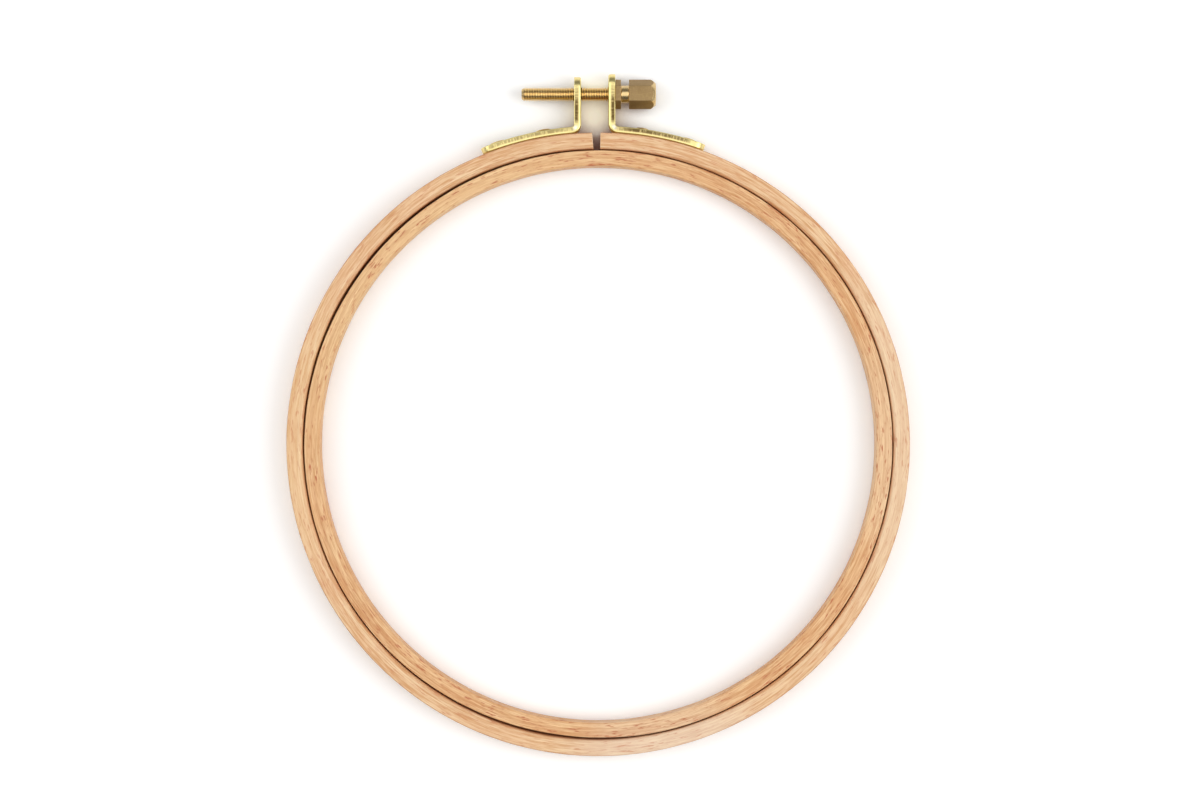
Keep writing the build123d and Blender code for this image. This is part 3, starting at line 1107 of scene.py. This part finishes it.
# %% Rivets
def rivet_outline(head, head_height):
    """A rivet along +X from the hoop's centre: its dished tail, its shank and its head."""
    tail_start = outer_inside + rivet_tail_recess
    shank = rivet_shank / 2
    outline = [(tail_start + depth, share * rivet_tail / 2) for depth, share in tail_dish]
    outline += [(tail_start + rivet_tail_depth, shank), (head_base, shank)]
    outline += [(head_base, head_foot * head), (head_base + head_edge, head)]
    for step in range(1, head_dome_steps + 1):
        turned = pi / 2 * step / head_dome_steps
        rise = head_edge + (head_height - head_edge) * sin(turned) ** head_flatness
        outline.append((head_base + rise, head * cos(turned)))
    return outline


def rivet(side, angle, node, seed):
    """A rivet at an angle from +Y, first made along +X from the hoop's centre."""
    head_width, head_height = rivet_heads[node]
    head = head_width / 2
    shape = spun_outline(rivet_outline(head, head_height), (0, 0, 0), rivet_steps)
    merge_doubles(shape)
    for vert in shape.verts:
        if vert.co.x > head_base + hammered_from:
            around = atan2(vert.co.z, vert.co.y)
            from_middle = hypot(vert.co.y, vert.co.z) / head
            swell = 1 + 0.035 * sin(2 * around + seed) + 0.02 * sin(3 * around - seed)
            vert.co.y *= swell
            vert.co.z *= swell
            unevenness = from_middle * noise.noise(Vector((around, seed, 0.5)))
            vert.co.x -= hammered_depth * (1 + unevenness)
    outward = Vector((side * sin(angle), cos(angle), 0))
    turn = Matrix(((outward.x, -outward.y, 0), (outward.y, outward.x, 0), (0, 0, 1)))
    placed = Matrix.Translation((0, 0, middle_height)) @ turn.to_4x4()
    bmesh.ops.transform(shape, matrix=placed, verts=shape.verts)
    return finish_piece(shape, node + "_brass", sharp_angle=50)


rivets = {}
for side, side_name in ((-1, "left"), (1, "right")):
    for angle, place in zip(rivet_angles(side), ("leg", "tip")):
        seed = len(rivets) * 1.7
        node = f"rivet_{side_name}_{place}"
        rivets[node] = rivet(side, angle, node, seed)


# %% Brass of the rivets
rivet_dents = 900.0  # scale of the noise, in bumps to a metre
rivet_tarnish = 380.0


def rivet_brass():
    """Dull brass with hammer marks and clouds of tarnish."""
    material, tree, shader = new_material("rivet_brass")
    place = add_node(tree, "ShaderNodeTexCoord").outputs["Object"]
    dents = cloudy(tree, place, rivet_dents, 3.0)
    dull = ramp(tree, cloudy(tree, place, rivet_tarnish, 2.0), [(0.38, 0.0), (0.62, 1.0)])
    colour = mix_colour(tree, dull, paint(248, 222, 152), paint(206, 172, 108))
    rough = ramp(tree, dents, [(0.3, 0.32), (0.7, 0.5)])
    shader.inputs["Metallic"].default_value = 1.0
    return complete(material, shader, colour, rough, dents, 0.5, 0.05 * MM)


hammered_brass = rivet_brass()
for piece in rivets.values():
    piece.data.materials.append(hammered_brass)

# %% [markdown]
# ## The clamp screw's thread
# A thread is one groove that winds round the rod. Its profile over a single pitch is drawn
# as a short line of points and spun once round the axis while it moves along by one pitch.
# That turn ends where the next begins, so copies of it make the rod. The ends are cut off
# square and capped, and the free end is chamfered by holding every point there inside a
# cone, which trims the crests as a die does.

# %% Thread
pitch = 0.7 * MM
thread_radius = 1.94 * MM
thread_depth = 0.36 * MM
thread_steps = 48
rod_end = screw_low.x
bearing = leg_faces[1] + strip_thickness + 0.05 * MM  # where the flange starts
rod_overlap = 0.4 * MM
end_radius = 1.4 * MM
end_chamfer = 0.84 * MM


def thread_profile():
    """One pitch of the thread as (share of the pitch, share of the depth) points."""
    half = [(0.0, 1.0), (0.06, 1.0), (0.12, 0.94), (0.18, 0.82), (0.26, 0.6)]
    half += [(0.34, 0.34), (0.40, 0.15), (0.45, 0.04)]
    other_half = [(1 - along, depth) for along, depth in reversed(half)]
    return half + [(0.5, 0.0)] + other_half


def threaded_rod():
    """The threaded rod, from its chamfered end to inside the flange."""
    spare_turns = 2
    turns = int((bearing + rod_overlap - rod_end) / pitch) + 2 * spare_turns
    start = rod_end - spare_turns * pitch
    places = []
    for along_share, depth_share in thread_profile():
        radius = thread_radius - thread_depth * depth_share
        places.append((start + along_share * pitch, screw_y + radius, middle_height))
    shape = bmesh.new()
    draw_line(shape, places)
    spin_and_repeat(
        shape, screw_axis, (1, 0, 0), radians(360), thread_steps, turns - 1, advance=pitch
    )
    cut_at(shape, (rod_end, 0, 0), (-1, 0, 0), cut_off=True)
    cut_at(shape, (bearing + rod_overlap, 0, 0), (1, 0, 0), cut_off=True)
    close_ends(shape)
    slope = (thread_radius - end_radius) / end_chamfer
    for vert in shape.verts:
        off_axis = Vector((0, vert.co.y - screw_y, vert.co.z - middle_height))
        most = end_radius + (vert.co.x - rod_end) * slope
        if off_axis.length > most:
            kept = off_axis * (most / off_axis.length)
            vert.co.y = screw_y + kept.y
            vert.co.z = middle_height + kept.z
    return finish_piece(shape, "clamp_screw_brass", sharp_angle=40)


clamp_screw = threaded_rod()

# %% [markdown]
# ## The clamp screw's head
# The head is turned from hexagonal bar. The shape follows the same two steps: a length of
# bar with slightly rounded corners, and a round body that says how far the turning tool
# left metal standing. What both have in common is the head. Where the cone at the end
# meets the flats of the bar, this leaves the curved edges that every such knob has. The cone
# bulges very slightly and every edge is a little rounded, as handling leaves them.

# %% Sizes of the head
knob_across_flats = 7.0 * MM
bar_corner = knob_across_flats / sqrt(3)
bar_corner_rounding = 0.06 * MM
bar_corner_steps = 4
bar_spare = 2 * MM  # how much longer than the head the bar is
flange_thickness = 1.5 * MM
neck_radius = 2.4 * MM
neck_length = 2.2 * MM
neck_fillet = 0.34 * MM
fillet_steps = 6
knob_end = screw_high.x
cone_length = 1.55 * MM
cone_radius = 3.05 * MM
cone_steps = 8
cone_bulge = 0.10 * MM
broken_edge = 0.12 * MM
clear_of_bar = 0.3 * MM  # how far outside the bar's corners the round body passes
lathe_steps = 144
print(f"head {(knob_end - bearing) / MM:.2f} mm long, {knob_across_flats / MM:.1f} mm across flats")


# %% Length of hexagonal bar
def hexagonal_bar():
    """A length of bar along the screw's axis, longer than the head at both ends."""
    length = knob_end - bearing + bar_spare
    shape = bmesh.new()
    bmesh.ops.create_cone(
        shape, cap_ends=True, segments=6, radius1=bar_corner, radius2=bar_corner, depth=length
    )
    long_edges = [edge for edge in shape.edges if edge.calc_length() > length / 2]
    bevel(shape, long_edges, bar_corner_rounding, bar_corner_steps, "EDGES")
    along_x = Matrix.Rotation(radians(90), 4, "Y")
    centre = ((bearing + knob_end) / 2, screw_y, middle_height)
    bmesh.ops.transform(shape, matrix=Matrix.Translation(centre) @ along_x, verts=shape.verts)
    return finish_piece(shape, "bar")


# %% What the lathe leaves
def neck_outline(flange_end, knob_start):
    """The neck with a fillet at each end."""
    outline = []
    for step in range(fillet_steps + 1):
        turned = pi / 2 * step / fillet_steps
        x = flange_end + neck_fillet * (1 - cos(turned))
        outline.append((x, neck_radius + neck_fillet * (1 - sin(turned))))
    for step in range(fillet_steps + 1):
        turned = pi / 2 * (1 - step / fillet_steps)
        x = knob_start - neck_fillet * (1 - cos(turned))
        outline.append((x, neck_radius + neck_fillet * (1 - sin(turned))))
    return outline


def turned_body():
    """What the lathe leaves: flange, neck, knob and cone."""
    outside = bar_corner + clear_of_bar
    flange_end = bearing + flange_thickness
    knob_start = flange_end + neck_length
    edge_radius = bar_corner - broken_edge
    outline = [(bearing, 0), (bearing, edge_radius), (bearing + broken_edge, outside)]
    outline += [(flange_end - broken_edge, outside), (flange_end, edge_radius)]
    outline += neck_outline(flange_end, knob_start)
    outline += [(knob_start, edge_radius), (knob_start + broken_edge, outside)]
    cone_slope = (bar_corner - cone_radius) / cone_length
    cone_start = knob_end - cone_length - (outside - bar_corner) / cone_slope
    outline.append((cone_start, outside))
    for step in range(1, cone_steps + 1):
        share = step / cone_steps
        x = cone_start + (knob_end - broken_edge - cone_start) * share
        straight = outside + (cone_radius + cone_slope * broken_edge - outside) * share
        outline.append((x, straight + cone_bulge * 4 * share * (1 - share)))
    outline += [(knob_end, cone_radius - broken_edge), (knob_end, 0)]
    shape = spun_outline(outline, (0, screw_y, middle_height), lathe_steps)
    return finish_piece(shape, "turned_body")


# %% [markdown]
# ## Head and rod in one
# The bar is trimmed by the round body, its sharp edges are rounded, and the head is joined
# to the rod. Joining leaves a few edges of almost no length where the two meshes meet. The
# triangles beside such an edge have no area, so the edge is collapsed.

# %% Trim, round and join
arc_rounding = 0.16 * MM
arc_rounding_steps = 3
sharp_from = 24  # degrees
bar_merge_distance = 0.01 * MM


def round_edges(piece, rounding, sharper_than):
    """Rounds the edges of a piece that are sharper than an angle in degrees."""
    shape = bmesh.new()
    shape.from_mesh(piece.data)
    merge_doubles(shape, bar_merge_distance)
    sharp = [
        edge
        for edge in shape.edges
        if edge.is_manifold and edge.calc_face_angle(0) > radians(sharper_than)
    ]
    bevel(shape, sharp, rounding, arc_rounding_steps, "EDGES", clamp_overlap=True)
    shape.to_mesh(piece.data)
    shape.free()
    print(f"{piece.name}: {len(sharp)} edges rounded")


def collapse_short_edges(piece):
    """Collapses edges so short that the triangles beside them have no area."""
    shape = bmesh.new()
    shape.from_mesh(piece.data)
    before = len(shape.verts)
    bmesh.ops.dissolve_degenerate(shape, dist=merge_distance, edges=shape.edges)
    print(f"{piece.name}: {before - len(shape.verts)} doubled points collapsed")
    shape.to_mesh(piece.data)
    shape.free()


screw_head = hexagonal_bar()
cut_with(screw_head, turned_body(), "INTERSECT")
round_edges(screw_head, arc_rounding, sharp_from)
cut_with(clamp_screw, screw_head, "UNION")
collapse_short_edges(clamp_screw)
screw_mesh = clamp_screw.data
screw_mesh.name = clamp_screw.name
shade_smooth(screw_mesh, sharp_angle=28)

# %% [markdown]
# ## Bar brass and cut brass
# The flats of the bar keep their drawn, slightly tarnished skin. Wherever the tool has
# cut, the brass is fresh and golden. A face of the screw belongs to the bar if it is one of
# the six flats, which its direction and its distance from the axis tell.

# %% Mark the bar's own skin
flat_distance = knob_across_flats / 2
flat_tolerance = 0.02 * MM
flat_tilt = 0.02  # most that the direction of a flat may lean along the axis

skin = screw_mesh.attributes.new("bar_skin", "FLOAT", "FACE")
marks = []
for polygon in screw_mesh.polygons:
    off_axis = polygon.center - screw_axis
    off_axis.x = 0
    reach = off_axis.dot(polygon.normal)
    is_flat = abs(polygon.normal.x) < flat_tilt and reach > flat_distance - flat_tolerance
    marks.append(1.0 if is_flat else 0.0)
skin.data.foreach_set("value", marks)
print(f"{int(sum(marks))} faces are the bar's own skin")

# %% Brass of the screw
turning_rings = 9000.0  # scale of the noise, in bumps to a metre
bar_speckles = 2600.0
screw_tarnish = 330.0


def screw_brass():
    """Turned brass with fine rings, painted highlight and shade on the thread, and a duller skin on
    the flats of the bar.
    """
    material, tree, shader = new_material("screw_brass")
    place = add_node(tree, "ShaderNodeTexCoord").outputs["Object"]
    along, y, z = add_node(tree, "ShaderNodeSeparateXYZ", {0: place}).outputs
    bar = attribute(tree, "bar_skin")
    off_axis = add_node(tree, "ShaderNodeCombineXYZ", {
        1: math_node(tree, "SUBTRACT", y, screw_y),
        2: math_node(tree, "SUBTRACT", z, middle_height),
    })
    from_axis = vector_math(tree, "LENGTH", {0: off_axis.outputs[0]}, "Value")
    along_cut = math_node(tree, "ADD", along, from_axis)
    along_cut = math_node(tree, "MULTIPLY", along_cut, turning_rings)
    inputs = {"W": along_cut, "Scale": 1.0, "Detail": 3.0}
    rings = add_node(tree, "ShaderNodeTexNoise", inputs, noise_dimensions="1D").outputs["Fac"]
    speckle = cloudy(tree, place, bar_speckles, 3.0)
    tarnish = cloudy(tree, place, screw_tarnish, 3.0)

    turned_colour = mix_colour(tree, tarnish, paint(224, 198, 146), paint(200, 170, 118))
    # The thread gets a paler brass than the other turned faces: a painted highlight on its crests.
    thread_colour_with_painted_crest_light = mix_colour(tree, tarnish, paint(255, 232, 172), paint(236, 204, 138))
    on_thread = math_node(tree, "LESS_THAN", along, bearing)
    behind_chamfer = math_node(tree, "GREATER_THAN", along, rod_end + end_chamfer)
    on_thread = math_node(tree, "MULTIPLY", on_thread, behind_chamfer)
    cut_colour_with_painted_thread_light = mix_colour(tree, on_thread, turned_colour, thread_colour_with_painted_crest_light)
    # Painted shade: the thread's grooves are darkened towards their roots.
    depth = math_node(tree, "SUBTRACT", thread_radius, from_axis)
    depth = math_node(tree, "DIVIDE", depth, thread_depth)
    painted_groove_shade = math_node(tree, "MULTIPLY", ramp(tree, depth, [(0.25, 0.0), (0.9, 0.40)]), on_thread)
    cut_colour_with_painted_thread_light = mix_colour(tree, painted_groove_shade, cut_colour_with_painted_thread_light, paint(126, 68, 56))

    skin_colour = mix_colour(tree, tarnish, paint(172, 145, 104), paint(146, 119, 80))
    flecked = ramp(tree, speckle, [(0.45, 0.0), (0.7, 0.4)])
    skin_colour = mix_colour(tree, flecked, skin_colour, paint(190, 166, 112))
    colour = mix_colour(tree, bar, cut_colour_with_painted_thread_light, skin_colour)
    shader.inputs["Metallic"].default_value = 1.0
    rough = math_node(tree, "MULTIPLY_ADD", bar, 0.31, 0.2)
    rough = math_node(tree, "MULTIPLY_ADD", speckle, 0.1, rough)
    cut_relief = math_node(tree, "MULTIPLY", rings, math_node(tree, "SUBTRACT", 1.0, bar))
    skin_relief = math_node(tree, "MULTIPLY", speckle, bar)
    relief = math_node(tree, "ADD", skin_relief, cut_relief)
    return complete(material, shader, colour, rough, relief, 0.25, 0.02 * MM)


screw_mesh.materials.clear()
screw_mesh.materials.append(screw_brass())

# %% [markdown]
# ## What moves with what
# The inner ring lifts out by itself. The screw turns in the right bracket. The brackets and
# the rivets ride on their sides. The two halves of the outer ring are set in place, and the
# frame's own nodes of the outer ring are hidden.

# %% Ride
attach(inner_wood, "inner")
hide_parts("inner_ring")

for piece, side, side_name in ((outer_left_wood, -1, "left"), (outer_right_wood, 1, "right")):
    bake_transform(piece)
    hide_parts("outer_ring_" + side_name, "outer_ring_back")

for piece, side_name in ((left_bracket, "left"), (right_bracket, "right")):
    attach(piece, side_name + "_side")
    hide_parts("bracket_" + side_name)

for node, piece in rivets.items():
    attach(piece, node.split("_")[1] + "_side")
    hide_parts(node)

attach(clamp_screw, "screw")
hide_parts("clamp_screw")
print(f"the rings, the brackets, {len(rivets)} rivets and the screw ride on their bodies")
